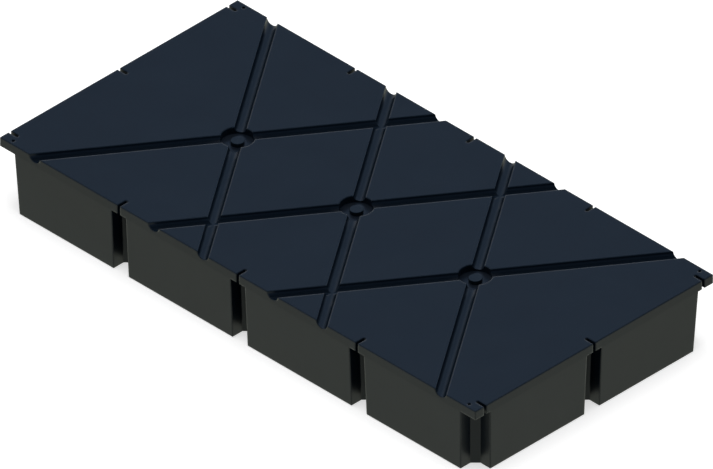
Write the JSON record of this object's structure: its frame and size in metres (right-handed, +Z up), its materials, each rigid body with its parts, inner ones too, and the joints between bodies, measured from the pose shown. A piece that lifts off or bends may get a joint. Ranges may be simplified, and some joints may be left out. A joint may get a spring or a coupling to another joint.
{
  "type": "dock float drum",
  "caption": "Foam filled black plastic dock float: a flat grooved deck with slotted edges over a tapered body with upright bolt channels, and fill plugs in round pockets.",
  "frame": {"origin": "middle of the float's underside", "axes": "+X along the length, +Y along the width, +Z up out of the deck"},
  "size_m": [2.4384, 1.2192, 0.3048],
  "materials": {
    "shell_plastic": "rotationally moulded black polyethylene, satin, with a fine moulded grain",
    "plug_plastic": "moulded black polyethylene plug, satin"
  },
  "bodies": {
    "root": {"drum_shell": "shell_plastic", "fill_plug_1": "plug_plastic", "fill_plug_2": "plug_plastic", "fill_plug_3": "plug_plastic"}
  },
  "joints": []
}
